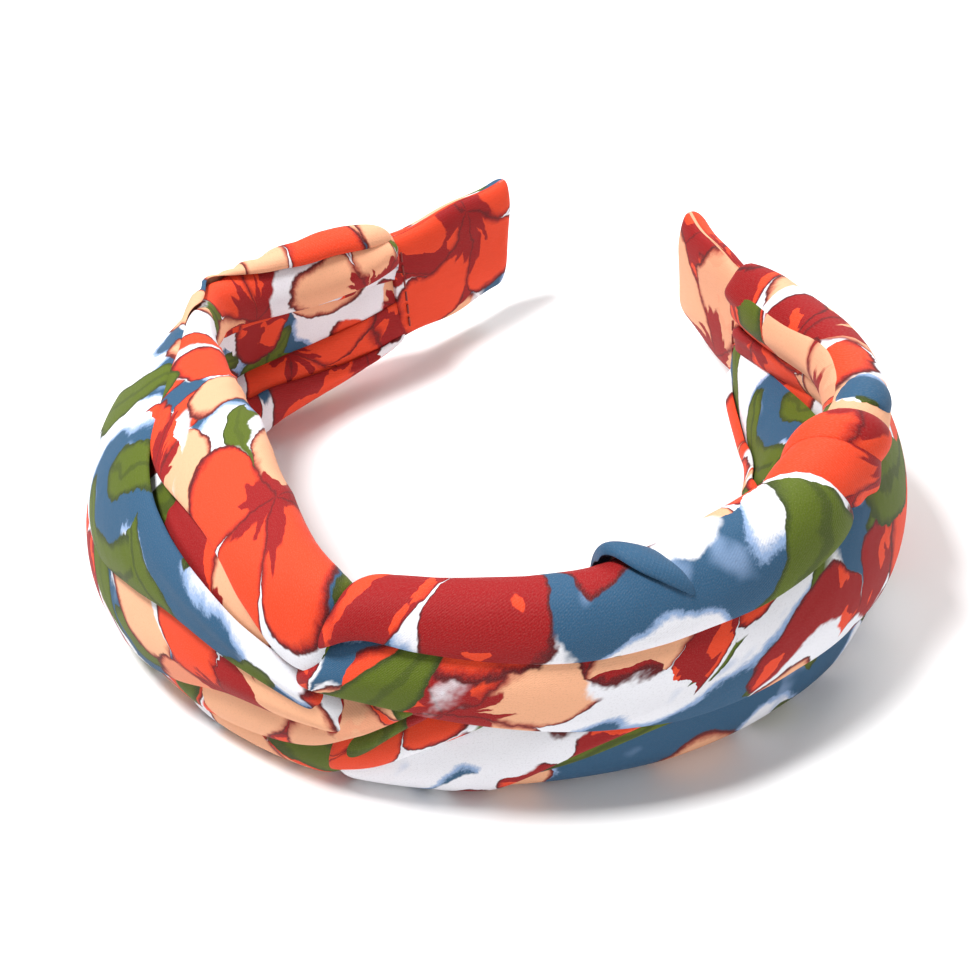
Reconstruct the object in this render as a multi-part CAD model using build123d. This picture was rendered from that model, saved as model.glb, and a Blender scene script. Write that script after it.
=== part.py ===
"""Knotted cloth headband: a plastic hoop and a foam strip in two wide cloth wraps that hook through each other.

The band lies on its edge, as it is put down on a table. +Z is up, across the band's width, and the hoop's
plan curve is level. The crown, with the knot, is towards -Y and the two tips are towards +Y. The origin is on
the table under the middle of the whole band.

Places on the band use two measures. s is the length along the hoop's middle line from the crown's centre,
minus to the left and plus to the right. off is the distance outwards from that middle line, minus to the
inside.
"""
from build123d import *
import math
import os

# The hoop's plan from the crown to one tip: length and radius of each stretch, minus where it bends outwards.
PLAN = [(55.0, 78.0), (80.0, 51.0), (23.0, None), (34.0, -160.0)]
TIP_S = sum(length for length, _ in PLAN)
LEFT_EXTRA = 7.0                # how much longer the left arm is, measured from the knot

# The layers, as distances from the hoop's middle line.
HOOP_T = 1.5
FOAM_T = 3.0
LINING_T = 0.6
HOOP_OUT = HOOP_T / 2
FOAM_OUT = HOOP_OUT + FOAM_T
LINING_IN = -HOOP_OUT - LINING_T
GAP = 0.12                      # room between two layers that only touch

# The left arm's upper side is pulled inwards by the taut cloth: s and the slope, from the pivot's height up.
LEFT_TILT = [(20.0, 0.0), (45.0, 0.12), (70.0, 0.28), (105.0, 0.28), (130.0, 0.1), (150.0, 0.0)]
PIVOT_Z = 8.0
STATION = 7.0                   # spacing of the cross-sections that the long layers are built through

# Heights across the band.
MID_Z = 20.75
TAPER_S = 60.0                  # where the strips start to narrow
HOOP_W, HOOP_TIP_W = 23.0, 15.0
HOOP_CORNER_R = 5.0
FOAM_W, FOAM_TIP_W = 25.0, 17.0
LINING_W, LINING_TIP_W = 27.0, 19.0

# The tip sleeves.
SEAM_S = 159.0                  # where a wrap ends and a sleeve starts
SLEEVE_END_S = TIP_S - 1.0
HOOP_END_S = SLEEVE_END_S - 2.0
SLEEVE_W = 25.5
SLEEVE_T = 0.8
SLEEVE_EDGE_R = 1.2

# The wraps: shape of the cross-section along an arm: s, bottom z, top z, inward lean of the top edge.
LEFT_EDGES = [(16, 0.0, 41.5, 0.0), (32, 0.0, 43.0, 8.0), (50, 0.0, 45.0, 13.0), (68, 0.0, 45.0, 11.0),
              (86, 0.0, 44.5, 9.0), (104, 0.0, 43.0, 5.0), (122, 0.5, 40.5, 0.0), (144, 3.0, 38.0, 0.0),
              (SEAM_S + LEFT_EXTRA, 6.5, 35.5, 0.0)]
RIGHT_EDGES = [(16, 0.0, 41.5, 0.0), (34, 0.0, 42.0, 1.0), (52, 0.0, 43.0, 4.0), (70, 0.0, 43.0, 5.0),
               (88, 0.0, 42.0, 3.0), (106, 0.0, 40.5, 0.0), (124, 1.0, 39.0, 0.0), (142, 3.5, 37.5, 0.0),
               (SEAM_S, 6.5, 35.5, 0.0)]
WRAP_OUT = 8.0
WRAP_IN = -2.6
LIP = 8.5                       # how far the leaning top edge reaches down the inside
MOUTH_W, MOUTH_TIP_W = 18.0, 11.0   # the height left open on the inside, between the turned-in edges
MOUTH_DEPTH = 25.0

# The knot: each wrap has an upper and a lower leg, and they pass over and under each other in two layers.
LEG_START = 26.0                # where the legs leave the wrap's channel
BIGHT_FAR, BIGHT_NEAR = 11.0, 2.5
LAYERS = {"under": (FOAM_OUT + GAP, 6.3), "over": (6.7, 9.2)}
LEG_Z = {"upper": (22.9, 39.5), "lower": (2.0, 17.7)}
GAP_Z = (18.1, 22.5)

# Thread.
STITCH_L, STITCH_R, STITCH_PITCH = 2.2, 0.22, 3.2
STITCH_LIFT = 0.02              # how far a seam stitch stands off the sleeve's face
TACK_L = 3.4
TACK_PLACES = [-3.0, -1.0, 1.0, 3.0]


def heading(s):
    """The plan direction at s on the right half, as an angle from +X, and the plan point there."""
    x = y = angle = 0.0
    left = s
    for length, radius in PLAN[:-1] + [(s, PLAN[-1][1])]:
        step = min(left, length)
        if radius is None:
            x += step * math.cos(angle)
            y += step * math.sin(angle)
        else:
            turned = angle + step / radius
            x += radius * (math.sin(turned) - math.sin(angle))
            y -= radius * (math.cos(turned) - math.cos(angle))
            angle = turned
        left -= step
        if left <= 0:
            break
    return angle, x, y


def place(s, off, z=0.0):
    """The point at s along the hoop and off outwards."""
    angle, x, y = heading(abs(s))
    side = -1 if s < 0 else 1
    return Vector(side * (x + off * math.sin(angle)), y - off * math.cos(angle), z)


def run(off, s0, s1):
    """The plan curve at a distance off, from s0 to s1, as exact lines and arcs."""
    ends, total = [0.0], 0.0
    for length, _ in PLAN:
        total += length
        ends.append(total)
    cuts = sorted({s0, s1} | {e * d for e in ends for d in (-1, 1) if s0 < e * d < s1})
    edges = []
    for a, b in zip(cuts, cuts[1:]):
        middle = (abs(a) + abs(b)) / 2
        _, radius = PLAN[sum(end <= middle for end in ends[1:-1])]
        if radius is None:
            edges.append(Line(place(a, off), place(b, off)))
        else:
            edges.append(ThreePointArc(place(a, off), place((a + b) / 2, off), place(b, off)))
    return edges


def strip(off0, off1, s0, s1, z0, z1):
    """A solid between two distances from the hoop's middle line, from s0 to s1 and z0 to z1."""
    ends = [Line(place(s0, off0), place(s0, off1)), Line(place(s1, off0), place(s1, off1))]
    face = make_face(run(off0, s0, s1) + run(off1, s0, s1) + ends)
    return extrude(Pos(0, 0, z0) * face, z1 - z0, dir=(0, 0, 1))


def slope(s):
    """The left arm's slope at s, inwards for each unit of height above the pivot."""
    if s >= -LEFT_TILT[0][0]:
        return 0.0
    for (a, low), (b, high) in zip(LEFT_TILT, LEFT_TILT[1:]):
        if -s <= b:
            return low + (high - low) * (-s - a) / (b - a)
    return 0.0


def tilted(s, off, z):
    """The point at s, off and z, moved inwards where the left arm slopes."""
    return place(s, off - slope(s) * (z - PIVOT_Z), z)


def layer(off0, off1, end_s, crown_w, tip_w):
    """A long strip over both arms, to end_s on the right one, that narrows to its ends and keeps the slope."""
    first = -end_s - LEFT_EXTRA
    count = round((end_s - first) / STATION)
    sections = []
    for i in range(count + 1):
        s = first + (end_s - first) * i / count
        taper = min(1.0, max(0.0, (abs(s) - TAPER_S) / (TIP_S - TAPER_S)))
        half = (crown_w + (tip_w - crown_w) * taper) / 2
        corners = [(off0, MID_Z - half), (off1, MID_Z - half), (off1, MID_Z + half), (off0, MID_Z + half)]
        sections.append(make_face(Polyline([tilted(s, off, z) for off, z in corners], close=True)))
    return loft(sections, ruled=True)


def hoop():
    """The springy plastic strip, with its four end corners rounded."""
    band = layer(-HOOP_OUT, HOOP_OUT, HOOP_END_S, HOOP_W, HOOP_TIP_W)
    far = [place(HOOP_END_S, 0), place(-HOOP_END_S - LEFT_EXTRA, 0)]
    corners = [e for e in band.edges() for end in far
               if e.length < 1.2 * HOOP_T and math.hypot(e.center().X - end.X, e.center().Y - end.Y) < 1.0]
    return fillet(corners, HOOP_CORNER_R)


def foam_pad():
    """The soft strip glued along the hoop's outside."""
    return layer(HOOP_OUT, FOAM_OUT, HOOP_END_S, FOAM_W, FOAM_TIP_W)


def inner_lining():
    """The strip of cloth that covers the hoop's inside between the sleeves."""
    return layer(LINING_IN, -HOOP_OUT, HOOP_END_S, LINING_W, LINING_TIP_W)


def wrap_section(s, bottom, top, lean):
    """The outline of a wrap at s, with its top edge pulled inwards by lean."""
    outline = [(WRAP_IN, bottom + 2.5), (0.0, bottom), (5.5, bottom), (WRAP_OUT - 0.8, bottom + 4),
               (WRAP_OUT, MID_Z), (WRAP_OUT - 1.0, top - 12), (5.0 - 0.85 * lean, top),
               (0.5 - lean, top), (WRAP_IN - lean, top - 3), (WRAP_IN, top - LIP)]
    return make_face(Polyline([tilted(s, off, z) for off, z in outline], close=True))


def leg(side, level, layer, far):
    """One leg of the knot: a flat fold from the wrap's channel to the far side of the crossing."""
    z0, z1 = LEG_Z[level]
    off0, off1 = LAYERS[layer]
    s0, s1 = sorted((side * LEG_START, -side * far))
    return strip(off0, off1, s0, s1, z0, z1)


def bight(side, upper_layer, lower_layer):
    """The fold that joins a wrap's two legs, through the gap between the other wrap's legs."""
    s0, s1 = sorted((-side * BIGHT_FAR, -side * BIGHT_NEAR))
    outer, inner = LAYERS["over"], LAYERS["under"]
    middle = strip(inner[0], outer[1], s0, s1, *GAP_Z)
    up = strip(*LAYERS[upper_layer], s0, s1, GAP_Z[0], LEG_Z["upper"][0] + 1)
    down = strip(*LAYERS[lower_layer], s0, s1, LEG_Z["lower"][1] - 1, GAP_Z[1])
    return middle + up + down


def wrap(side, edges, upper_layer, lower_layer):
    """One cloth wrap: its channel over an arm, its two legs and the bight that closes the loop."""
    sections = [wrap_section(side * s, *rest) for s, *rest in edges]
    inside, outside = LINING_IN - GAP, FOAM_OUT + GAP
    core = layer(inside, outside, HOOP_END_S, LINING_W + 1, LINING_TIP_W + 1)
    mouth = layer(-MOUTH_DEPTH, inside + GAP, HOOP_END_S, MOUTH_W, MOUTH_TIP_W)
    channel = loft(sections, ruled=True) - core - mouth
    legs = leg(side, "upper", upper_layer, BIGHT_FAR) + leg(side, "lower", lower_layer, BIGHT_FAR)
    return channel + legs + bight(side, upper_layer, lower_layer)


def arm_s(side, s):
    """The signed place at s on the right arm, or the same place from the end on the left one."""
    return s if side > 0 else -(s + LEFT_EXTRA)


def tip_sleeve(side):
    """The closed cloth pocket over a tip, sewn to the end of the wrap."""
    s0, s1 = sorted((arm_s(side, SEAM_S + 0.3), arm_s(side, SLEEVE_END_S)))
    skin_in, skin_out = LINING_IN - GAP - SLEEVE_T, FOAM_OUT + GAP + SLEEVE_T
    z0, z1 = MID_Z - SLEEVE_W / 2, MID_Z + SLEEVE_W / 2
    pocket = strip(skin_in, skin_out, s0, s1, z0, z1)
    long_edges = [e for e in pocket.edges() if e.length > 0.7 * SLEEVE_W]
    pocket = fillet(long_edges, SLEEVE_EDGE_R)
    c0, c1 = sorted((arm_s(side, SEAM_S - 5), arm_s(side, HOOP_END_S + 0.4)))
    cavity = strip(LINING_IN - GAP, FOAM_OUT + GAP, c0, c1, z0 + 1.5, z1 - 1.5)
    return pocket - cavity


def bar_stitch(s, off, z, length):
    """One stitch that lies up and down on a face."""
    angle, _, _ = heading(abs(s))
    body = Cylinder(STITCH_R, length)
    return Pos(*place(s, off, z)) * Rot(0, 0, math.degrees(angle)) * body


def tip_seam(side):
    """The stitches round a sleeve's mouth, on its outside and its inside."""
    out = FOAM_OUT + GAP + SLEEVE_T + STITCH_R + STITCH_LIFT
    inside = LINING_IN - GAP - SLEEVE_T - STITCH_R - STITCH_LIFT
    count = int(0.8 * SLEEVE_W // STITCH_PITCH)
    rows = [MID_Z + (i - (count - 1) / 2) * STITCH_PITCH for i in range(count)]
    s = arm_s(side, SEAM_S + 1.8)
    return Compound([bar_stitch(s, off, z, STITCH_L) for off in (out, inside) for z in rows])


def knot_tack():
    """The hand stitches on the inside that hold the crossing to the hoop."""
    off = LINING_IN - STITCH_R - GAP
    return Compound([bar_stitch(s, off, MID_Z, TACK_L) for s in TACK_PLACES])


def band_parts():
    return {
        "hoop": hoop(),
        "foam_pad": foam_pad(),
        "inner_lining": inner_lining(),
        "left_wrap": wrap(-1, LEFT_EDGES, "under", "over"),
        "right_wrap": wrap(1, RIGHT_EDGES, "over", "under"),
        "left_tip_sleeve": tip_sleeve(-1),
        "right_tip_sleeve": tip_sleeve(1),
        "left_tip_seam": tip_seam(-1),
        "right_tip_seam": tip_seam(1),
        "knot_tack": knot_tack(),
    }


def main():
    os.makedirs("parts", exist_ok=True)
    parts = band_parts()
    box = Compound(list(parts.values())).bounding_box()
    home = Pos(-(box.min.X + box.max.X) / 2, -(box.min.Y + box.max.Y) / 2, -box.min.Z)
    print("moved by", home.position, "size", box.size)
    for name, shape in parts.items():
        export_step(home * shape, f"parts/{name}.step")


main()
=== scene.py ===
"""The look of the knotted headband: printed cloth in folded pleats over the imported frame, in metres.

The cloth is built in the band's own measures, in millimetres. s is the length along the hoop from the
crown's centre, minus to the left. w is the length round a wrap's cross-section from its lowest point, up
the outside, over the top and down the inside. h is the height above that cross-section.
"""
import bmesh
import bpy
import math
import random
import numpy as np
from mathutils import Matrix, Vector


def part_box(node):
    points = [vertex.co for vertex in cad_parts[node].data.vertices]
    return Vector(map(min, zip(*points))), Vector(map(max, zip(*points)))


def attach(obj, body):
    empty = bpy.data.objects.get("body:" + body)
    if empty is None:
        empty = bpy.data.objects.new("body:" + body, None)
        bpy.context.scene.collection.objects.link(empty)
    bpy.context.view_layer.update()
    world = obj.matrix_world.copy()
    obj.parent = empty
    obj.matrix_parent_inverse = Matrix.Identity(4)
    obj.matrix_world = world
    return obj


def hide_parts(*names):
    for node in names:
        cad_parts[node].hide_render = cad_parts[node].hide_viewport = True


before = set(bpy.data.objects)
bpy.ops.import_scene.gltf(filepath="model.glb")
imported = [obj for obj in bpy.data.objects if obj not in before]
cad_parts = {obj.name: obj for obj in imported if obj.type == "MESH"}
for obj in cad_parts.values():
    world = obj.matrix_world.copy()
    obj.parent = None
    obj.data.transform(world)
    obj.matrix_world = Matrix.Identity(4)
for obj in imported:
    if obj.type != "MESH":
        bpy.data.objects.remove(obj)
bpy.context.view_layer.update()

MM = 0.001

# The hoop's plan from the crown to one tip: length and radius of each stretch, minus where it bends out.
PLAN = [(55.0, 78.0), (80.0, 51.0), (23.0, None), (34.0, -160.0)]
TIP_S = sum(length for length, _ in PLAN)
LEFT_EXTRA = 7.0                # how much longer the left arm is, measured from the knot
SEAM_S = 159.0                  # where a wrap ends and a sleeve starts, on the right arm
WRAP_OVERLAP = 1.2              # how far a wrap's pleats run into the sleeve
HOOP_T = 1.5

hoop_low, hoop_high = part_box("hoop")
tack_low, tack_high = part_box("knot_tack")
CROWN_X = (tack_low[0] + tack_high[0]) / 2 / MM
CROWN_Y = hoop_low[1] / MM + HOOP_T / 2
MID_Z = (hoop_low[2] + hoop_high[2]) / 2 / MM
TABLE_Z = 0.06                  # no cloth comes lower than this

# The slope of the left arm's hoop, inwards for each unit of height above the pivot.
LEFT_TILT = [(20.0, 0.0), (45.0, 0.12), (70.0, 0.28), (105.0, 0.28), (130.0, 0.1), (150.0, 0.0)]
PIVOT_Z = 8.0
NEARBY = 0.8                    # the reach of the stretch that a surface's slope is taken over

# A wrap's cross-section under its pleats, at distances from the crown. bottom and top are heights. mid and
# rim are how far out its outside is, half way up and near the top. lean is how far its top edge reaches
# inwards, and belly how far the slack cloth hangs inwards at the bottom. reach is how far the top edge
# comes down the inside.
LEFT_BODY = {
    "bottom": [(0, 1.6), (100, 1.6), (125, 2.5), (150, 4.5), (175, 8.0)],
    "top": [(0, 39.0), (13, 40.5), (24, 42.0), (39, 43.0), (94, 43.0), (110, 42.0), (124, 40.5),
            (138, 38.5), (155, 36.3), (175, 33.5)],
    "lean": [(0, 0.0), (5, 0.5), (13, 5.0), (24, 13.0), (39, 20.0), (51, 24.0), (73, 25.0), (94, 20.0),
             (110, 11.0), (122, 3.0), (140, 0.0)],
    "rim": [(0, 5.0), (20, 4.0), (40, -1.0), (61, -6.0), (78, -10.5), (95, -12.0), (110, -10.5),
            (124, -7.0), (138, -2.0), (152, 2.0), (175, 3.0)],
    "mid": [(0, 6.2), (40, 5.0), (73, 3.6), (110, 3.4), (140, 4.8), (165, 4.4)],
    "belly": [(92, 0.0), (108, 5.0), (126, 6.0), (145, 2.0), (158, 0.0)],
    "reach": [(0, 11.0), (175, 11.0)],
}
RIGHT_BODY = {
    "bottom": [(0, 1.6), (100, 1.6), (125, 3.0), (145, 5.0), (170, 8.0)],
    "top": [(0, 37.0), (36, 37.0), (50, 38.0), (60, 39.5), (90, 39.5), (110, 38.5), (130, 37.5),
            (150, 36.0), (170, 33.5)],
    "lean": [(0, 0.0), (34, 1.0), (52, 4.0), (70, 5.0), (88, 3.0), (106, 0.0)],
    "rim": [(0, 5.0), (34, 4.5), (52, 3.0), (70, 2.0), (88, 1.5), (106, 2.0), (125, 2.0), (140, 2.5),
            (160, 3.5)],
    "mid": [(0, 6.2), (45, 6.0), (65, 4.0), (90, 3.8), (115, 3.4), (140, 4.2), (160, 4.4)],
    "belly": [(80, 0.0), (93, 12.0), (108, 17.0), (121, 17.0), (139, 11.0), (152, 5.5), (162, 0.5)],
    "reach": [(0, 11.0), (95, 11.0), (118, 18.0), (150, 22.0), (170, 20.0)],
}
MEASURES = ("bottom", "top", "lean", "rim", "mid", "belly", "reach")


# ----------------------------------------------------------------------------------- places on the band

def along_plan(s):
    """The plan direction and point at a distance s from the crown, on the right half."""
    x = y = angle = 0.0
    left = s
    for i, (length, radius) in enumerate(PLAN):
        step = left if i == len(PLAN) - 1 else min(left, length)
        if radius is None:
            x += step * math.cos(angle)
            y += step * math.sin(angle)
        else:
            turned = angle + step / radius
            x += radius * (math.sin(turned) - math.sin(angle))
            y -= radius * (math.cos(turned) - math.cos(angle))
            angle = turned
        left -= step
        if left <= 0:
            break
    return angle, x, y


def place(s, off, z):
    """The point at s along the hoop, off outwards from it, at height z, in metres."""
    angle, x, y = along_plan(abs(s))
    side = -1 if s < 0 else 1
    px = CROWN_X + side * (x + off * math.sin(angle))
    py = CROWN_Y + y - off * math.cos(angle)
    return (px * MM, py * MM, z * MM)


def between(table, at):
    """The value at one place of a table of (place, value), straight between its entries."""
    return float(np.interp(at, [a for a, _ in table], [b for _, b in table]))


def lengths_along(line):
    """How far along the line each of its points is."""
    return np.concatenate([[0], np.cumsum(np.hypot(*np.diff(line, axis=0).T))])


def cut_corners(line):
    """The line with each of its corners cut off, a quarter of the way along both sides."""
    cut = np.empty((2 * len(line) - 2, 2))
    cut[0::2] = 0.75 * line[:-1] + 0.25 * line[1:]
    cut[1::2] = 0.25 * line[:-1] + 0.75 * line[1:]
    return np.vstack([line[:1], cut, line[-1:]])


SECTIONS = {}                   # the cross-sections worked out so far


def section(side, s):
    """A wrap's cross-section at s: its (off, z) points from the inner lower lip round to the inner upper
    lip, and each point's w."""
    key = (side, round(s, 2))
    if key not in SECTIONS:
        body = LEFT_BODY if side < 0 else RIGHT_BODY
        bottom, top, lean, rim, mid, belly, reach = (between(body[k], abs(s)) for k in MEASURES)
        inside = -2.0 - 0.6 * lean
        line = np.array([
            (-1.5, bottom + 11.5 + 0.5 * belly),
            (-1.6 - 0.8 * belly, bottom + 11 + 0.3 * belly),
            (-2.2 - belly, bottom + 2.5),
            (1.5, bottom),
            (mid - 1.0, bottom + 3),
            (mid, (bottom + top) / 2),
            (rim, top - 4),
            (1.0 - lean, top),
            (-2.4 - lean, top - 2),
            (inside, top - 10),
            (inside, top - reach)])
        for _ in range(4):
            line = cut_corners(line)
        run = lengths_along(line)
        SECTIONS[key] = line, run - run[line[:, 1].argmin()]
    return SECTIONS[key]


def on_wrap(side, s, w, h):
    """The point at (s, w) on a wrap, h above its cross-section, in metres. The way up is square to a short
    stretch of the section, so it turns evenly round a tight bend."""
    line, run = section(side, s)
    off, z = (np.interp(w, run, line[:, k]) for k in (0, 1))
    ahead = [np.interp(w + NEARBY, run, line[:, k]) for k in (0, 1)]
    behind = [np.interp(w - NEARBY, run, line[:, k]) for k in (0, 1)]
    t_off, t_z = ahead[0] - behind[0], ahead[1] - behind[1]
    size = math.hypot(t_off, t_z) or 1.0
    off += h * t_z / size
    z -= h * t_off / size
    return place(s, off, max(z, TABLE_Z))


def lips(side, s):
    """The lowest and highest w of the cross-section at s."""
    _, run = section(side, s)
    return run[0], run[-1]


# ----------------------------------------------------------------------------------------- mesh helpers

def smooth_line(points, count):
    """A smooth curve through the points, as count points evenly spaced in its parameter."""
    pts = np.array(points, float)
    pts = np.vstack([2 * pts[0] - pts[1], pts, 2 * pts[-1] - pts[-2]])
    out = []
    spans = len(pts) - 3
    for t in np.linspace(0, spans, count):
        i = min(int(t), spans - 1)
        f = t - i
        a, b, c, d = pts[i:i + 4]
        squared, cubed = 2 * a - 5 * b + 4 * c - d, 3 * b - a - 3 * c + d
        out.append(0.5 * (2 * b + (c - a) * f + squared * f ** 2 + cubed * f ** 3))
    return np.array(out)


def ease(x):
    """0 to 1, slow at both ends."""
    x = min(max(x, 0.0), 1.0)
    return x * x * (3 - 2 * x)


def round_in(x):
    """0 to 1 along a quarter circle."""
    x = min(max(x, 0.0), 1.0)
    return math.sqrt(1 - (1 - x) ** 2)


class Cloth:
    """A mesh that is gathered ring by ring, with the print's own measure on each corner."""

    def __init__(self, name):
        self.name = name
        self.verts, self.faces, self.print_at = [], [], []

    def tube(self, rings, prints):
        """Closed rings of points, each with its places on the print, joined in order and capped."""
        first = len(self.verts)
        n = len(rings[0])
        for ring, marks in zip(rings, prints):
            self.verts += ring
            self.print_at += marks
        for i in range(len(rings) - 1):
            a, b = first + i * n, first + (i + 1) * n
            for j in range(n):
                k = (j + 1) % n
                self.faces.append((a + j, a + k, b + k, b + j))
        half = n // 2
        for start, flip in ((first, True), (first + (len(rings) - 1) * n, False)):
            for j in range(half - 1):
                quad = (start + j, start + j + 1, start + n - 2 - j, start + n - 1 - j)
                if len(set(quad)) == 4:
                    self.faces.append(quad[::-1] if flip else quad)

    def make(self, material):
        """The finished object, smoothed once."""
        mesh = bpy.data.meshes.new(self.name)
        mesh.from_pydata(self.verts, [], self.faces)
        mesh.validate()
        work = bmesh.new()
        work.from_mesh(mesh)
        bmesh.ops.recalc_face_normals(work, faces=work.faces)
        work.to_mesh(mesh)
        work.free()
        layer = mesh.uv_layers.new(name="print")
        for loop in mesh.loops:
            u, v = self.print_at[loop.vertex_index]
            layer.data[loop.index].uv = (u * MM, v * MM)
        mesh.polygons.foreach_set("use_smooth", [True] * len(mesh.polygons))
        mesh.update()
        mesh.materials.append(material)
        ob = bpy.data.objects.new(self.name, mesh)
        bpy.context.scene.collection.objects.link(ob)
        sub = ob.modifiers.new("smooth", "SUBSURF")
        sub.levels = sub.render_levels = 1
        sub.uv_smooth = "PRESERVE_CORNERS"
        return ob


def two_layers(outer, inner, marks):
    """A ring out along a sheet's outer face and back along its inner face, and its places on the print."""
    return outer + inner[::-1], marks + marks[::-1]


# ----------------------------------------------------------------------------------------------- pleats

ACROSS = 16                     # points across a pleat's outside
PLEAT_T = 0.9                   # thickness of the doubled cloth at a pleat's fold
HEM_T = 0.3                     # thickness at its hidden edge
UNDER_H, UNDER_T = 0.3, 0.5     # height and thickness of the cloth under the pleats
PRINT_SPREAD = 900              # how far over the print the pleats with no spot of their own are scattered
RIDGE_FADE, RIDGE_LEAST = 0.45, 0.15    # the share of a pleat that its ridges fade over, and what is left


def changing(pair, t):
    """A value that is one number, or changes evenly from the first of two numbers to the second."""
    return pair if isinstance(pair, (int, float)) else pair[0] + (pair[1] - pair[0]) * t


def dive(before, after, start, end):
    """How deep a pleat lies at a place this far from its two ends."""
    depth = 0.0
    for distance, (length, drop) in ((before, start), (after, end)):
        depth += (1 - round_in(distance / length)) * drop
    return depth


def pleat(cloth, side, high, low, lift, bulge, tuck, start, end, seed,
          ripple=0.0, ripples=3.0, step=1.5, both=False, spot=None):
    """One pleat between its high edge and its low edge, the fold that shows. Both are (s, w) points in
    order along it. lift and tuck are the heights of the fold and the other edge, and bulge is the swell
    between them. start and end say over what length each end dives, and how deep. ripple is the height of
    the soft ridges along the pleat, strongest at its ends, and ripples is how many there are. both makes a
    fold of the high edge too. spot is where on the print the pleat starts."""
    rng = random.Random(seed)
    longest = max(np.abs(np.diff(np.array(e, float), axis=0)).sum() for e in (high, low))
    count = max(8, int(longest / step))
    highs, lows = smooth_line(high, count), smooth_line(low, count)
    run = lengths_along((highs + lows) / 2)
    total = run[-1]
    shift = spot or (rng.uniform(0, PRINT_SPREAD), rng.uniform(0, PRINT_SPREAD))
    turn, phase = 0.0 if spot else rng.uniform(-0.5, 0.5), rng.uniform(0, math.tau)
    c, d = math.cos(turn), math.sin(turn)
    rings, prints = [], []
    for i in range(count):
        t = run[i] / total
        depth = dive(run[i], total - run[i], start, end)
        ridged = ripple * max(1 - t / RIDGE_FADE, 1 - (1 - t) / RIDGE_FADE, RIDGE_LEAST)
        low_h, high_h, swell = changing(lift, t), changing(tuck, t), changing(bulge, t)
        wide = math.hypot(*(highs[i] - lows[i]))
        outer, inner, marks = [], [], []
        for j in range(ACROSS + 1):
            u = 0.5 - 0.5 * math.cos(math.pi * j / ACROSS)
            s, w = highs[i] * (1 - u) + lows[i] * u
            middle = high_h + (low_h - high_h) * ease(u * 1.15) - depth
            middle += swell * math.sin(math.pi * min(u * 1.02, 1)) ** 0.7
            wave = math.sin(math.tau * ripples * u + phase + 0.06 * run[i])
            middle += ridged * wave * math.sin(math.pi * u)
            thick = PLEAT_T if both else HEM_T + (PLEAT_T - HEM_T) * ease(u * 1.5)
            rim = round_in((1 - u) * wide / (PLEAT_T / 2))
            if both:
                rim *= round_in(u * wide / (PLEAT_T / 2))
            outer.append(on_wrap(side, s, w, middle + thick / 2 * rim))
            inner.append(on_wrap(side, s, w, middle - thick / 2 * rim - 0.02))
            x, y = run[i], u * wide
            marks.append((shift[0] + x * c - y * d, shift[1] + x * d + y * c))
        ring, ring_marks = two_layers(outer, inner, marks)
        rings.append(ring)
        prints.append(ring_marks)
    cloth.tube(rings, prints)


def under_layer(cloth, side, s0, s1, spot):
    """The cloth that lies flat on the foam under a wrap's pleats, from lip to lip."""
    spacing, across = 2.5, 44
    count = int(abs(s1 - s0) / spacing)
    rings, prints = [], []
    for i in range(count + 1):
        s = s0 + (s1 - s0) * i / count
        w0, w1 = lips(side, s)
        outer, inner, marks = [], [], []
        for j in range(across + 1):
            w = w0 + (w1 - w0) * j / across
            outer.append(on_wrap(side, s, w, UNDER_H))
            inner.append(on_wrap(side, s, w, UNDER_H - UNDER_T))
            marks.append((spot[0] + s, spot[1] + w))
        ring, ring_marks = two_layers(outer, inner, marks)
        rings.append(ring)
        prints.append(ring_marks)
    cloth.tube(rings, prints)


# ---------------------------------------------------------------------------------------- the two wraps

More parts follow.
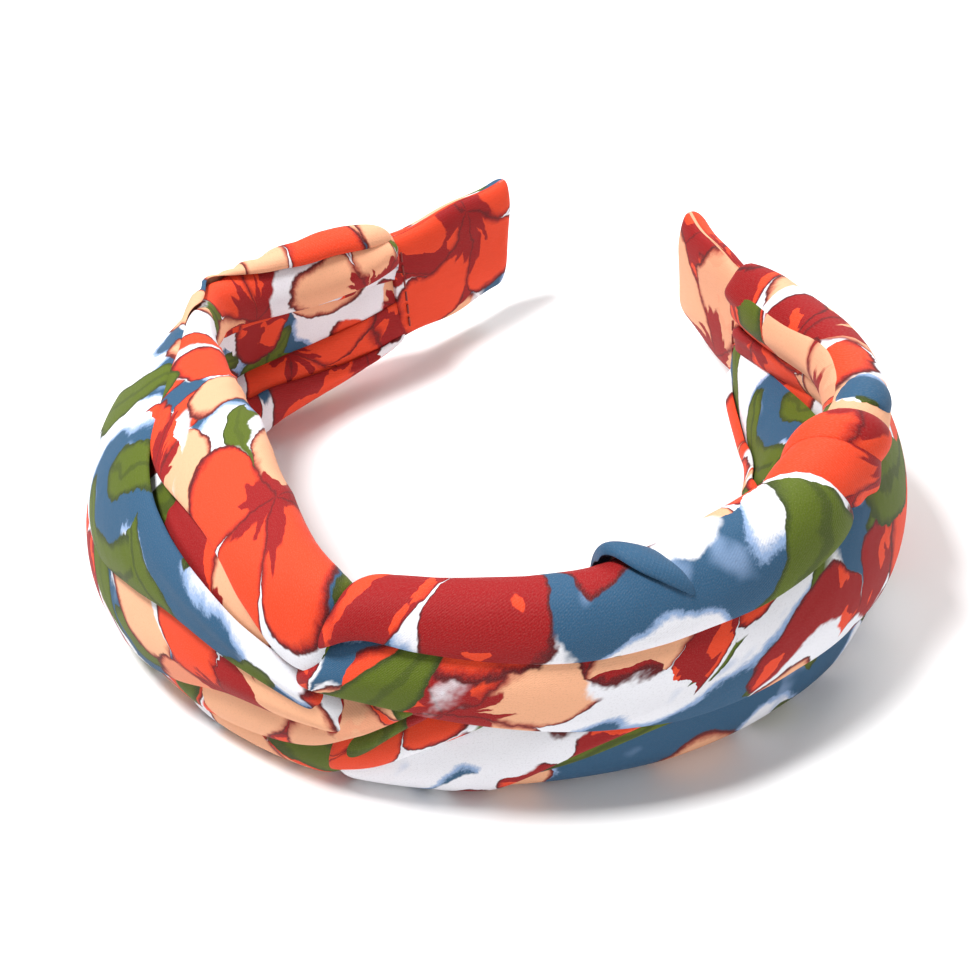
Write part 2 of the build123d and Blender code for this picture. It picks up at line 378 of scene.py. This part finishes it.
def right_wrap(material):
    """The wrap over the right arm: from the crossing, a roll on top, a middle pleat and a lowest one."""
    cloth = Cloth("right_wrap_cloth")
    reach = SEAM_S + WRAP_OVERLAP
    under_layer(cloth, 1, 3, reach, spot=(63, 275))
    # The lowest pleat, along the bottom edge and under it, and the slack cloth inside the far arm.
    pleat(cloth, 1,
          high=[(-4, 14), (10, 15), (30, 20), (55, 19), (80, 17), (110, 18), (140, 17), (reach, 16)],
          low=[(-4, -4), (10, -5), (30, -6), (55, -6), (80, -6), (110, -6), (140, -5), (reach, -4)],
          lift=0.8, bulge=1.0, tuck=0.2, start=(5, 1.5), end=(14, 1.1), ripple=0.3, seed=12)
    pleat(cloth, 1,
          high=[(78, -3), (105, -3), (125, -4), (145, -4), (reach, -2)],
          low=[(84, -8), (98, -21), (118, -23), (140, -15), (reach, -8)],
          lift=0.9, bulge=1.2, tuck=0.4, start=(10, 1.5), end=(14, 1.3), ripple=0.5, ripples=2, seed=22)
    # The fan below the middle pleat, which runs in under it.
    pleat(cloth, 1,
          high=[(20, 18), (34, 19), (48, 18), (60, 16)],
          low=[(18, 4), (30, 8), (43, 12.5), (58, 14)],
          lift=1.5, bulge=0.6, tuck=0.2, start=(6, 2), end=(5, 1), seed=25)
    pleat(cloth, 1,
          high=[(-7, 12), (5, 19), (20, 23), (34, 22), (46, 20)],
          low=[(-8, 0), (4, -1.5), (15, 1.5), (30, 10.5), (44, 16)],
          lift=2.3, bulge=0.7, tuck=0.3, start=(4, 2), end=(4, 1), ripple=0.35, seed=13, spot=(60, 225))
    pleat(cloth, 1,
          high=[(-6, 14), (3, 19), (12, 23), (22, 26)],
          low=[(-9, 4.5), (0, 8), (9, 14), (19, 20)],
          lift=3.0, bulge=0.5, tuck=0.7, start=(3, 2), end=(4, 1), seed=14, spot=(150, 105))
    # The middle pleat.
    pleat(cloth, 1,
          high=[(-7, 31), (5, 35), (20, 36), (46, 34), (65, 34), (85, 37), (110, 37), (135, 34),
                (reach, 29)],
          low=[(-11.5, 23.5), (0, 23), (11, 21), (28, 17.5), (41, 15.5), (56, 13.5), (80, 12),
               (105, 13), (135, 13), (reach, 12)],
          lift=(3.6, 4.2), bulge=1.2, tuck=1.0, start=(5, 3.5), end=(18, 4.6), ripple=0.3, ripples=2,
          seed=15, spot=(75, 60))
    # The roll along the top, as far as the knuckle.
    pleat(cloth, 1,
          high=[(1, 50), (12, 51), (30, 52), (50, 52), (66, 52), (77, 50)],
          low=[(-8, 29.5), (0, 33), (10, 32), (30, 29.5), (48, 29), (66, 28.5), (84, 30)],
          lift=(3.8, 3.0), bulge=1.6, tuck=0.2, start=(6, 4.5), end=(7, 3), ripple=0.35, ripples=2,
          seed=16, spot=(12, 80))
    # The wide fold from the knuckle to the sleeve, and the gathers on its inside.
    pleat(cloth, 1,
          high=[(100, 54), (120, 56), (140, 58), (reach, 57)],
          low=[(102, 46), (118, 48), (140, 49.5), (reach, 48)],
          lift=1.0, bulge=0.8, tuck=0.3, start=(10, 2.5), end=(14, 1.2), ripple=0.4, ripples=2, seed=23)
    pleat(cloth, 1,
          high=[(97, 52), (115, 52), (138, 52), (reach, 50)],
          low=[(98, 45), (117, 44), (140, 44), (reach, 41)],
          lift=1.9, bulge=0.8, tuck=0.5, start=(10, 2.5), end=(14, 2.1), ripple=0.4, ripples=2, seed=24)
    pleat(cloth, 1,
          high=[(91, 49), (105, 47), (125, 44), (145, 40), (reach, 35)],
          low=[(89, 31), (100, 31), (120, 31), (140, 29), (reach, 25)],
          lift=0.8, bulge=1.8, tuck=2.6, start=(10, 3), end=(14, 1.5), ripple=0.6, ripples=2.5, seed=18,
          both=True, spot=(215, 220))
    pleat(cloth, 1,
          high=[(94, 51), (112, 49), (135, 47), (reach, 43)],
          low=[(94, 43), (112, 40), (138, 37), (reach, 32)],
          lift=3.4, bulge=1.2, tuck=0.9, start=(10, 3), end=(14, 3.8), ripple=0.4, ripples=2, seed=19,
          spot=(140, 150))
    # The knuckle, crumpled across the band.
    pleat(cloth, 1,
          high=[(78, 54), (73, 46), (72, 40), (76, 34), (84, 29)],
          low=[(95, 56), (98, 47), (99, 41), (98, 35), (96, 30)],
          lift=2.0, bulge=2.6, tuck=1.4, start=(8, 2.5), end=(14, 4.2), ripple=0.7, ripples=2.5,
          seed=17, both=True, spot=(105, 233))
    pleat(cloth, 1,
          high=[(80, 50), (83, 44), (88, 38), (93, 34)],
          low=[(86, 53), (90, 46), (95, 40), (98, 36)],
          lift=5.2, bulge=0.8, tuck=4.2, start=(7, 3.5), end=(8, 3), seed=26, both=True, step=1.0,
          spot=(112, 240))
    pleat(cloth, 1,
          high=[(92, 48), (97, 43), (103, 37), (108, 33)],
          low=[(97, 52), (103, 47), (109, 41), (113, 37)],
          lift=2.8, bulge=0.8, tuck=2.6, start=(7, 3), end=(8, 3), seed=27, both=True, step=1.0,
          spot=(120, 230))
    # The small pinched fold on the roll.
    pleat(cloth, 1,
          high=[(35, 46), (40, 43), (48, 39)],
          low=[(37, 40), (42, 37.5), (50, 33.5)],
          lift=5.4, bulge=0.8, tuck=3.8, start=(3, 1.5), end=(6, 2.5), seed=21, step=0.8)
    return cloth.make(material)


def left_wrap(material):
    """The wrap over the left arm: a taut pleat to the knot over a middle, a lower and a lowest one."""
    cloth = Cloth("left_wrap_cloth")
    reach = -(SEAM_S + LEFT_EXTRA + WRAP_OVERLAP)
    under_layer(cloth, -1, -3, reach, spot=(300, 120))
    # The lowest pleat, along the bottom edge and under it, and the slack cloth inside the far arm.
    pleat(cloth, -1,
          high=[(-12, 12), (-24, 12), (-38, 13), (-60, 15), (-90, 17), (-125, 16), (reach, 15)],
          low=[(-10, -3), (-24, -5), (-38, -6), (-60, -6), (-90, -6), (-125, -6), (reach, -4)],
          lift=0.9, bulge=1.0, tuck=0.5, start=(5, 1.5), end=(14, 1.2), ripple=0.3, seed=32)
    pleat(cloth, -1,
          high=[(-84, -3), (-105, -3), (-125, -4), (-145, -3), (-160, -1)],
          low=[(-90, -9), (-104, -15), (-125, -16), (-145, -9), (-160, -4)],
          lift=0.9, bulge=1.0, tuck=0.4, start=(10, 1.5), end=(6, 1), ripple=0.5, ripples=2, seed=42)
    # The end that crosses the other wrap's lower pleats and tucks up under its middle pleat, in two folds.
    pleat(cloth, -1,
          high=[(10, 25), (4, 20), (-3, 14), (-11, 10), (-24, 8), (-40, 7)],
          low=[(11.5, 21.5), (6, 17.5), (0, 11.5), (-7, 3.5), (-16, -0.5), (-40, -4)],
          lift=(3.0, 1.8), bulge=0.9, tuck=(1.0, 0.6), start=(4, 2.5), end=(8, 1.5), seed=39)
    pleat(cloth, -1,
          high=[(10, 27), (4, 25), (-3, 21), (-11, 19), (-24, 18), (-40, 14)],
          low=[(10.5, 23.5), (5, 19.5), (-2, 14.5), (-10, 9.5), (-22, 6.5), (-40, 4)],
          lift=(3.6, 2.0), bulge=1.0, tuck=(1.4, 0.9), start=(4, 2.5), end=(8, 1.5), ripple=0.3,
          ripples=2, seed=40, spot=(145, 153))
    # The lower pleat, with its fold along the bottom.
    pleat(cloth, -1,
          high=[(-3, 22), (-15, 27), (-33, 29), (-50, 27), (-70, 25), (-100, 27), (-130, 24),
                (reach, 20)],
          low=[(-1, 14.5), (-11, 14.5), (-24, 14.5), (-38, 9), (-54, 4.5), (-85, 6), (-120, 8),
               (reach, 8)],
          lift=2.9, bulge=1.6, tuck=0.3, start=(6, 2.5), end=(14, 3.5), ripple=0.5, ripples=2, seed=33,
          spot=(83, 5))
    # The sunken pleat that opens towards the knot.
    pleat(cloth, -1,
          high=[(-4, 31), (-14, 36), (-28, 41), (-44, 43)],
          low=[(-5, 20), (-15, 25), (-28, 31), (-44, 35)],
          lift=0.9, bulge=0.6, tuck=0.9, start=(5, 1.5), end=(8, 1), ripple=0.3, seed=35)
    # The taut pleat from the top of the far arm to the knot.
    pleat(cloth, -1,
          high=[(-1, 47), (-8, 51), (-18, 58), (-32, 64), (-50, 68), (-70, 68), (-90, 65), (-108, 58),
                (-121, 53)],
          low=[(-5, 26), (-11, 27.5), (-18, 33.5), (-27, 38), (-38, 40), (-52, 40), (-70, 42),
               (-96, 43), (-119, 44)],
          lift=(3.4, 1.4), bulge=(0.6, 0.5), tuck=0.1, start=(5, 3), end=(8, 1.2), ripple=0.4,
          ripples=1.5, seed=38, spot=(133, 190))
    # The middle pleat, folded along both edges.
    pleat(cloth, -1,
          high=[(-7, 24.5), (-22, 31.5), (-38, 35.5), (-50, 38), (-67, 43), (-87, 45), (-105, 44.5),
                (-122, 42), (-142, 37.5), (reach, 31)],
          low=[(-4, 17), (-19, 22.5), (-33, 25), (-46, 23), (-61, 20), (-82, 22), (-105, 24),
               (-130, 21), (-150, 19), (reach, 16)],
          lift=3.2, bulge=(1.0, 1.6), tuck=2.4, start=(6, 3), end=(14, 3.8), ripple=0.5, ripples=1.5,
          seed=34, both=True, spot=(140, 237))
    # The folds that turn in over the inside of the far arm.
    pleat(cloth, -1,
          high=[(-116, 48), (-130, 45), (-146, 41), (-160, 36)],
          low=[(-118, 58), (-128, 55), (-142, 51), (-154, 46)],
          lift=1.5, bulge=0.8, tuck=0.3, start=(6, 1.5), end=(8, 1.5), ripple=0.3, seed=36)
    pleat(cloth, -1,
          high=[(-108, 42), (-124, 40), (-140, 36), (-155, 32), (reach, 28)],
          low=[(-113, 54), (-123, 51), (-133, 48.5), (-145, 45.5), (-155, 42), (reach, 36)],
          lift=2.2, bulge=1.3, tuck=0.4, start=(8, 2), end=(14, 2.6), ripple=0.4, ripples=2, seed=37,
          spot=(73, 127))
    return cloth.make(material)


# ----------------------------------------------------------------------------------- lining and sleeves

def inner_lining(material):
    """The strip of cloth along the inside of the hoop, with faint creases."""
    cloth = Cloth("inner_lining_cloth")
    past_seam, spacing, across = 4, 3, 16
    half_wide, narrowing, taper_from, taper_length = 13.2, 4.0, 60, 110
    outer_off, inner_off, print_corner = -1.0, -1.45, (400, 300)
    first, last = -(SEAM_S + LEFT_EXTRA + past_seam), SEAM_S + past_seam
    count = int((last - first) / spacing)
    rings, prints = [], []
    for i in range(count + 1):
        s = first + (last - first) * i / count
        slope = between(LEFT_TILT, -s)
        half = half_wide - narrowing * ease((abs(s) - taper_from) / taper_length)
        outer, inner, marks = [], [], []
        for j in range(across + 1):
            z = MID_Z + half * (2 * j / across - 1)
            crease = 0.12 * math.sin(0.55 * s + 0.5 * j) + 0.1 * math.sin(0.21 * s - 0.8 * j)
            sloped = -slope * (z - PIVOT_Z)
            outer.append(place(s, outer_off + sloped, z))
            inner.append(place(s, inner_off + crease + sloped, z))
            marks.append((print_corner[0] + s, print_corner[1] + z))
        ring, ring_marks = two_layers(outer, inner, marks)
        rings.append(ring)
        prints.append(ring_marks)
    cloth.tube(rings, prints)
    return cloth.make(material)


def tip_sleeve(side, name, material, seed, spot):
    """A flat pocket over the tip: full in the middle, pinched to a seam along its edges and its end. The
    left one is cut on a slant."""
    cloth = Cloth(name)
    extra, tip_extra, slant = (LEFT_EXTRA, LEFT_EXTRA + 1.5, 0.2) if side < 0 else (0.0, 0.0, 0.0)
    s0, s1 = SEAM_S + extra - 0.5, TIP_S + tip_extra - 0.6
    half_height, half_thick, pinch, back_print = 12.6, 3.3, 3.0, 30
    middle_off, middle_z = 1.2, MID_Z - 0.6
    count, around = 26, 40
    rings, prints = [], []
    for i in range(count + 1):
        t = i / count
        s = s0 + (s1 - s0) * t
        close = round_in((1 - t) * (s1 - s0) / pinch)
        open_out = 1 + 0.08 * (1 - ease(t * 5))
        half_z = (half_height + 0.5 * math.sin(9 * t + seed)) * (0.93 + 0.07 * close)
        half_off = (half_thick + 0.2 * math.sin(7 * t + 2 * seed)) * (0.25 + 0.75 * close) * open_out
        ring, marks = [], []
        for j in range(around):
            a = 2 * math.pi * j / around
            c, d = math.cos(a), math.sin(a)
            off = math.copysign(abs(c) ** 0.75, c) * half_off
            z = math.copysign(abs(d) ** 0.55, d) * half_z
            off += 0.18 * math.sin(0.5 * z + 5 * t + seed) * close * (1 - abs(d) ** 4)
            ring.append(place(side * (s + t * slant * z), middle_off + off, middle_z + z))
            marks.append((spot[0] + s, spot[1] + z + (back_print if c < 0 else 0)))
        rings.append(ring)
        prints.append(marks)
    cloth.tube(rings, prints)
    return cloth.make(material)


# -------------------------------------------------------------------------------------------- materials

def linear(r, g, b):
    """A screen colour, 0 to 255, as the shader's linear colour."""
    def one(c):
        c /= 255
        return c / 12.92 if c <= 0.04045 else ((c + 0.055) / 1.055) ** 2.4
    return (one(r), one(g), one(b), 1.0)


ORANGE = linear(226, 66, 30)
DARK_RED = linear(148, 8, 14)
MAROON = linear(66, 10, 18)
PEACH = linear(234, 172, 134)
STEEL = linear(42, 84, 116)
PALE_BLUE = linear(140, 166, 204)
OLIVE = linear(82, 98, 14)
DEEP_GREEN = linear(32, 46, 18)
LEAF_LIGHT = linear(128, 146, 44)
WHITE = linear(232, 232, 238)


class Graph:
    """Short calls for building a material's nodes."""

    def __init__(self, material):
        material.use_nodes = True
        self.tree = material.node_tree
        self.tree.nodes.clear()

    def node(self, kind, **settings):
        made = self.tree.nodes.new(kind)
        for key, value in settings.items():
            setattr(made, key, value)
        return made

    def put(self, socket, value):
        if isinstance(value, bpy.types.NodeSocket):
            self.tree.links.new(value, socket)
        else:
            socket.default_value = value

    def math(self, op, a, b=0.0):
        made = self.node("ShaderNodeMath", operation=op)
        self.put(made.inputs[0], a)
        self.put(made.inputs[1], b)
        return made.outputs[0]

    def plus(self, a, b):
        return self.math("ADD", a, b)

    def minus(self, a, b):
        return self.math("SUBTRACT", a, b)

    def times(self, a, b):
        return self.math("MULTIPLY", a, b)

    def vector(self, op, a, b=(0, 0, 0), scale=None):
        made = self.node("ShaderNodeVectorMath", operation=op)
        self.put(made.inputs[0], a)
        self.put(made.inputs[1], b)
        if scale is not None:
            self.put(made.inputs["Scale"], scale)
        return made.outputs["Value" if op == "LENGTH" else "Vector"]

    def split(self, v):
        made = self.node("ShaderNodeSeparateXYZ")
        self.put(made.inputs[0], v)
        return made.outputs[0], made.outputs[1], made.outputs[2]

    def join(self, x, y, z=0.0):
        made = self.node("ShaderNodeCombineXYZ")
        for socket, value in zip(made.inputs, (x, y, z)):
            self.put(socket, value)
        return made.outputs[0]

    def noise(self, v, scale, detail=2.0, rough=0.5, colour=False):
        made = self.node("ShaderNodeTexNoise", noise_dimensions="3D")
        self.put(made.inputs["Vector"], v)
        made.inputs["Scale"].default_value = scale
        made.inputs["Detail"].default_value = detail
        made.inputs["Roughness"].default_value = rough
        return made.outputs["Color" if colour else "Fac"]

    def drift(self, v, scale, amount):
        """A shift of up to half the amount each way, that wanders from place to place."""
        either_way = self.vector("SUBTRACT", self.noise(v, scale, 1.0, colour=True), (0.5, 0.5, 0.5))
        return self.vector("SCALE", either_way, scale=amount)

    def cells(self, v, seed):
        """Scattered centres, one to a unit square: the way from the nearest, and its random numbers."""
        moved = self.vector("ADD", v, (seed * 3.7, seed * 1.9, 0))
        made = self.node("ShaderNodeTexVoronoi", voronoi_dimensions="2D", feature="F1")
        self.put(made.inputs["Vector"], moved)
        made.inputs["Scale"].default_value = 1.0
        made.inputs["Randomness"].default_value = 0.85
        away = self.vector("SUBTRACT", moved, made.outputs["Position"])
        return away, self.split(made.outputs["Color"])

    def step(self, value, low, high):
        """0 below low and 1 above high, with a soft change between them."""
        made = self.node("ShaderNodeMapRange", interpolation_type="SMOOTHSTEP")
        self.put(made.inputs["Value"], value)
        self.put(made.inputs["From Min"], low)
        self.put(made.inputs["From Max"], high)
        return made.outputs["Result"]

    def below(self, value, low, high):
        """1 below low and 0 above high, with a soft change between them."""
        return self.minus(1.0, self.step(value, low, high))

    def mix(self, amount, a, b):
        made = self.node("ShaderNodeMix", data_type="RGBA")
        self.put(made.inputs["Factor"], amount)
        self.put(made.inputs["A"], a)
        self.put(made.inputs["B"], b)
        return made.outputs["Result"]

    def bump(self, height, strength, depth):
        made = self.node("ShaderNodeBump")
        made.inputs["Strength"].default_value = strength
        made.inputs["Distance"].default_value = depth
        self.put(made.inputs["Height"], height)
        return made

    def surface(self, colour, roughness):
        """The material's shader, put out as its surface."""
        shader = self.node("ShaderNodeBsdfPrincipled")
        self.put(shader.inputs["Base Color"], colour)
        shader.inputs["Roughness"].default_value = roughness
        self.put(self.node("ShaderNodeOutputMaterial").inputs["Surface"], shader.outputs[0])
        return shader


PETALS = 5
FIRST_PEACH, FIRST_RED = 0.46, 0.74     # the chances above which a petal is peach, or dark red
# What is scattered over the ground, in order: size in mm, seed, and the share of its places left empty.
LEAVES_UNDER, LEAVES_OVER = (19.0, 2, 0.35), (30.0, 7, 0.60)
FLOWERS_UNDER, FLOWERS_MIDDLE, FLOWERS_OVER = (44.0, 13, 0.35), (54.0, 5, 0.02), (38.0, 9, 0.68)


def painted_print(g):
    """The print: washes of blue and white, leaves, and large flowers with dark edges, like brush strokes.
    It gives the colour, and the place on the print in mm."""
    at = g.node("ShaderNodeUVMap", uv_map="print").outputs["UV"]
    mm = g.vector("SCALE", at, scale=1000.0)
    rough = mm
    for scale, amount in ((0.034, 17.0), (0.16, 4.0), (0.9, 0.9)):
        rough = g.vector("ADD", rough, g.drift(mm, scale, amount))
    grain = g.noise(mm, 2.2, 3.0, 0.7)

    # The ground: white, with washes of steel blue that pale at their edges.
    wash = g.noise(rough, 0.05, 0.0)
    blotch = g.plus(wash, g.times(g.minus(grain, 0.5), 0.04))
    colour = g.mix(g.step(blotch, 0.41, 0.45), WHITE, PALE_BLUE)
    colour = g.mix(g.step(blotch, 0.45, 0.475), colour, STEEL)
    bloom = g.step(g.noise(mm, 0.10, 2.0), 0.60, 0.72)
    colour = g.mix(g.times(bloom, 0.6), colour, PALE_BLUE)

    for strokes, scatter in ((leaves, LEAVES_UNDER), (flowers, FLOWERS_UNDER), (flowers, FLOWERS_MIDDLE),
                             (leaves, LEAVES_OVER), (flowers, FLOWERS_OVER)):
        colour = strokes(g, colour, rough, grain, *scatter)
    return colour, mm


def leaves(g, colour, rough, grain, size, seed, empty):
    """Scattered leaf strokes, each turned its own way."""
    away, (turn, pick, shade) = g.cells(g.vector("SCALE", rough, scale=1 / size), seed)
    x, y, _ = g.split(away)
    angle = g.times(turn, math.tau)
    c, s = g.math("COSINE", angle), g.math("SINE", angle)
    lengthways = g.plus(g.times(x, c), g.times(y, s))
    across = g.minus(g.times(y, c), g.times(x, s))
    bow = g.plus(across, g.times(g.times(lengthways, lengthways), 0.5))
    length = g.math("POWER", g.math("DIVIDE", lengthways, 0.52), 2.0)
    width = g.math("POWER", g.math("DIVIDE", bow, 0.20), 2.0)
    inside = g.plus(length, width)
    leaf = g.times(g.below(inside, 0.93, 1.03), g.math("GREATER_THAN", pick, empty))
    vein = g.below(g.math("ABSOLUTE", bow), 0.012, 0.035)
    green = g.mix(g.times(g.step(inside, 0.55, 0.95), 0.75), OLIVE, DEEP_GREEN)
    green = g.mix(g.times(vein, g.times(shade, 0.6)), green, DEEP_GREEN)
    green = g.mix(g.times(g.step(grain, 0.62, 0.75), 0.5), green, LEAF_LIGHT)
    return g.mix(leaf, colour, green)


def flowers(g, colour, rough, grain, size, seed, empty):
    """Scattered flowers: each petal orange, dark red or peach, with a dark line and a white gap."""
    away, (turn, pick, _) = g.cells(g.vector("SCALE", rough, scale=1 / size), seed)
    x, y, _ = g.split(away)
    radius = g.vector("LENGTH", away)
    angle = g.plus(g.math("ARCTAN2", y, x), g.times(turn, math.tau))
    lobes = g.times(angle, PETALS / 2)
    lobe = g.math("ABSOLUTE", g.math("COSINE", lobes))
    reach = g.plus(0.22, g.times(g.math("POWER", lobe, 0.6), 0.26))
    gap = g.minus(radius, reach)
    shown = g.math("GREATER_THAN", pick, empty)

    # Each petal gets a colour of its own.
    petal_no = g.math("FLOOR", g.math("DIVIDE", g.plus(lobes, math.pi / 2), math.pi))
    petal = g.node("ShaderNodeTexWhiteNoise", noise_dimensions="2D")
    g.put(petal.inputs["Vector"], g.join(petal_no, g.times(pick, 57.0)))
    chance = petal.outputs["Value"]
    is_red = g.step(chance, FIRST_RED, FIRST_RED + 0.01)
    paint = g.mix(g.step(chance, FIRST_PEACH, FIRST_PEACH + 0.01), ORANGE, PEACH)
    paint = g.mix(is_red, paint, DARK_RED)

    # Dark strokes run out from the flower's middle, and orange splashes lie on the dark red petals.
    streak = g.noise(g.join(g.times(angle, 2.6), g.times(radius, 2.0), g.times(pick, 9.0)), 1.0, 1.0)
    core = g.plus(radius, g.times(g.minus(streak, 0.5), 0.36))
    paint = g.mix(g.below(core, 0.135, 0.15), paint, DARK_RED)
    splash = g.times(g.step(g.noise(rough, 0.15, 1.0), 0.60, 0.61), is_red)
    paint = g.mix(splash, paint, ORANGE)

    # A dark line follows the petal's edge and the joins between petals, soft on its inside.
    frayed = g.plus(gap, g.times(g.minus(grain, 0.5), 0.022))
    join = g.times(lobe, radius)
    rim = g.math("MAXIMUM", frayed, g.minus(-0.012, g.times(join, 0.5)))
    paint = g.mix(g.times(g.step(rim, -0.050, -0.012), 0.9), paint, DARK_RED)
    paint = g.mix(g.times(g.step(rim, -0.026, -0.006), 0.85), paint, MAROON)

    # Here and there the cloth is left white beside it.
    blank = g.minus(g.times(g.noise(rough, 0.06, 0.0), 0.8), 0.40)
    halo = g.times(g.below(g.minus(gap, blank), -0.01, 0.03), shown)
    colour = g.mix(halo, colour, WHITE)
    flower = g.times(g.below(gap, -0.006, 0.006), shown)
    return g.mix(flower, colour, paint)


def print_cloth(name):
    """Printed twill: the print, a fine slanted weave and a soft sheen."""
    material = bpy.data.materials.new(name)
    g = Graph(material)
    colour, mm = painted_print(g)
    pale = g.step(g.noise(mm, 5.0, 2.0, 0.8), 0.4, 0.8)
    colour = g.mix(g.times(pale, 0.05), colour, linear(255, 236, 220))
    dull = g.step(g.noise(mm, 3.1, 2.0, 0.8), 0.5, 0.75)
    colour = g.mix(g.times(dull, 0.16), colour, linear(60, 20, 20))
    x, y, _ = g.split(mm)
    twill = g.math("SINE", g.times(g.plus(x, g.times(y, 1.4)), 11.0))
    thread = g.math("SINE", g.times(y, 17.0))
    weave = g.bump(g.plus(g.times(twill, 0.6), g.times(thread, 0.25)), strength=0.35, depth=0.00006)
    crumple = g.bump(g.noise(mm, 0.16, 2.0), strength=0.5, depth=0.0006)
    g.put(crumple.inputs["Normal"], weave.outputs["Normal"])
    shader = g.surface(colour, roughness=0.7)
    shader.inputs["Specular IOR Level"].default_value = 0.2
    shader.inputs["Sheen Weight"].default_value = 0.03
    shader.inputs["Sheen Roughness"].default_value = 0.45
    g.put(shader.inputs["Normal"], crumple.outputs["Normal"])
    return material


def plain(name, colour, rough, grain_scale, grain_depth, tint=0.12):
    """A plain finish with a fine grain: thread, foam or moulded plastic."""
    material = bpy.data.materials.new(name)
    g = Graph(material)
    mm = g.vector("SCALE", g.node("ShaderNodeTexCoord").outputs["Object"], scale=1000.0)
    grain = g.noise(mm, grain_scale, 3.0, 0.6)
    shade = tuple(c * (1 - 4 * tint) for c in colour[:3]) + (1.0,)
    shader = g.surface(g.mix(g.step(grain, 0.35, 0.75), shade, colour), rough)
    g.put(shader.inputs["Normal"], g.bump(grain, strength=0.4, depth=grain_depth).outputs["Normal"])
    return material


# ------------------------------------------------------------------------------------- stage and camera

def floor():
    half = 3.0
    mesh = bpy.data.meshes.new("floor")
    corners = [(-half, -half, 0), (half, -half, 0), (half, half, 0), (-half, half, 0)]
    mesh.from_pydata(corners, [], [(0, 1, 2, 3)])
    ob = bpy.data.objects.new("floor", mesh)
    bpy.context.scene.collection.objects.link(ob)
    material = bpy.data.materials.new("floor_paper")
    Graph(material).surface((0.93, 0.93, 0.93, 1), roughness=0.9)
    mesh.materials.append(material)


def area_light(name, at, size, watts):
    """A square light that faces the middle of the table."""
    light = bpy.data.lights.new(name, "AREA")
    light.size = size
    light.energy = watts
    ob = bpy.data.objects.new(name, light)
    bpy.context.scene.collection.objects.link(ob)
    ob.location = at
    ob.rotation_euler = (-Vector(at)).to_track_quat("-Z", "Y").to_euler()


def lights():
    """Even light from all round, and a small key from the front left that draws the pleats' edges."""
    world = bpy.data.worlds.new("studio")
    bpy.context.scene.world = world
    world.use_nodes = True
    back = world.node_tree.nodes["Background"]
    back.inputs["Color"].default_value = (1, 1, 1, 1)
    back.inputs["Strength"].default_value = 0.36
    area_light("key", at=(-0.28, -0.12, 0.8), size=0.2, watts=8.8)
    area_light("fill", at=(0.6, -0.4, 0.4), size=0.6, watts=1.2)
    area_light("back", at=(0.15, 0.6, 0.5), size=0.4, watts=3.5)
    bpy.context.scene.view_settings.view_transform = "Standard"


def camera():
    """A long lens from the front right, looking down at the knot, tilted a little."""
    azimuth, height, roll = math.radians(20.0), math.radians(37.2), math.radians(5.9)
    distance, target = 327.7, (0.0, 54.0, 18.0)
    level = math.cos(height)
    back = Vector((math.sin(azimuth) * level, -math.cos(azimuth) * level, math.sin(height)))
    right = Vector((math.cos(azimuth), math.sin(azimuth), 0))
    up = back.cross(right)
    turned_right = right * math.cos(roll) - up * math.sin(roll)
    turned_up = right * math.sin(roll) + up * math.cos(roll)
    eye = Vector((CROWN_X + target[0], CROWN_Y + target[1], target[2])) + back * distance
    data = bpy.data.cameras.new("camera")
    data.sensor_width = 36.0
    data.lens = 65.34
    data.shift_x, data.shift_y = 0.0135, -0.0042
    data.clip_start = 0.01
    ob = bpy.data.objects.new("camera", data)
    bpy.context.scene.collection.objects.link(ob)
    turn = Matrix((turned_right, turned_up, back)).transposed().to_4x4()
    ob.matrix_world = Matrix.Translation(eye * MM) @ turn
    bpy.context.scene.camera = ob


# ---------------------------------------------------------------------------------- putting it together

cloth_print = print_cloth("painted_cloth")
thread = plain("sewing_thread", linear(150, 45, 35), rough=0.6, grain_scale=6.0, grain_depth=0.0001)
foam = plain("cut_foam", linear(238, 232, 214), rough=0.95, grain_scale=1.6, grain_depth=0.0003, tint=0.05)
plastic = plain("moulded_plastic", linear(220, 218, 208), rough=0.4, grain_scale=0.8, grain_depth=0.00005,
                tint=0.03)

left = left_wrap(cloth_print)
right = right_wrap(cloth_print)
lining = inner_lining(cloth_print)
left_sleeve = tip_sleeve(-1, "left_tip_sleeve_cloth", cloth_print, seed=41, spot=(-59, 215))
right_sleeve = tip_sleeve(1, "right_tip_sleeve_cloth", cloth_print, seed=42, spot=(-6, 127))

for piece, node, slot in ((left, "left_wrap", "print_cloth"),
                          (right, "right_wrap", "print_cloth"),
                          (lining, "inner_lining", "lining_cloth"),
                          (left_sleeve, "left_tip_sleeve", "print_cloth"),
                          (right_sleeve, "right_tip_sleeve", "print_cloth")):
    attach(piece, "root")
    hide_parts(node)

for node, finish in (("hoop", plastic), ("foam_pad", foam), ("left_tip_seam", thread),
                     ("right_tip_seam", thread), ("knot_tack", thread)):
    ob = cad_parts[node]
    ob.data.materials.clear()
    ob.data.materials.append(finish)

floor()
lights()
camera()
